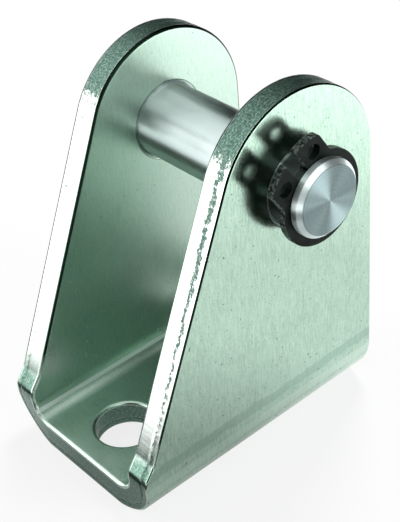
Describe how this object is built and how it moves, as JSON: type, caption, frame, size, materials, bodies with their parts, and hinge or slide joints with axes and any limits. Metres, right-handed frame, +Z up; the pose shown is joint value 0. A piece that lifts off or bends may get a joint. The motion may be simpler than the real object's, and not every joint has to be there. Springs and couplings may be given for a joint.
{
  "type": "cylinder mounting bracket",
  "caption": "Folded steel clevis foot for a round air cylinder's rear eye: two sloped ears on a drilled foot, with a cross pin held by retaining rings.",
  "frame": {"origin": "centre of the underside of the foot, midway along it and midway between the ears", "axes": "+X along the clevis pin, +Y along the foot towards the ears' upright edges, +Z up"},
  "size_m": [0.03, 0.032, 0.04],
  "materials": {
    "zinc_plated_sheet": "zinc plate with a pale green tint, fine rolling grain, bright sheared edges",
    "ground_steel": "ground bright on the round, faced on the ends with fine turning marks",
    "black_spring_steel": "black phosphate, lightly oiled"
  },
  "bodies": {
    "bracket": {"bracket": "zinc_plated_sheet"},
    "rings": {"retaining_ring_right": "black_spring_steel", "retaining_ring_left": "black_spring_steel"},
    "pin": {"clevis_pin": "ground_steel"}
  },
  "joints": [
    {"name": "pin_float", "type": "slide", "parent": "bracket", "child": "rings", "axis": [1, 0, 0], "range_m": [-0.0019, 0.0019]},
    {"name": "pin_turn", "type": "hinge", "parent": "rings", "child": "pin", "pos_m": [0, 0.006, 0.03], "axis": [1, 0, 0], "continuous": true}
  ]
}
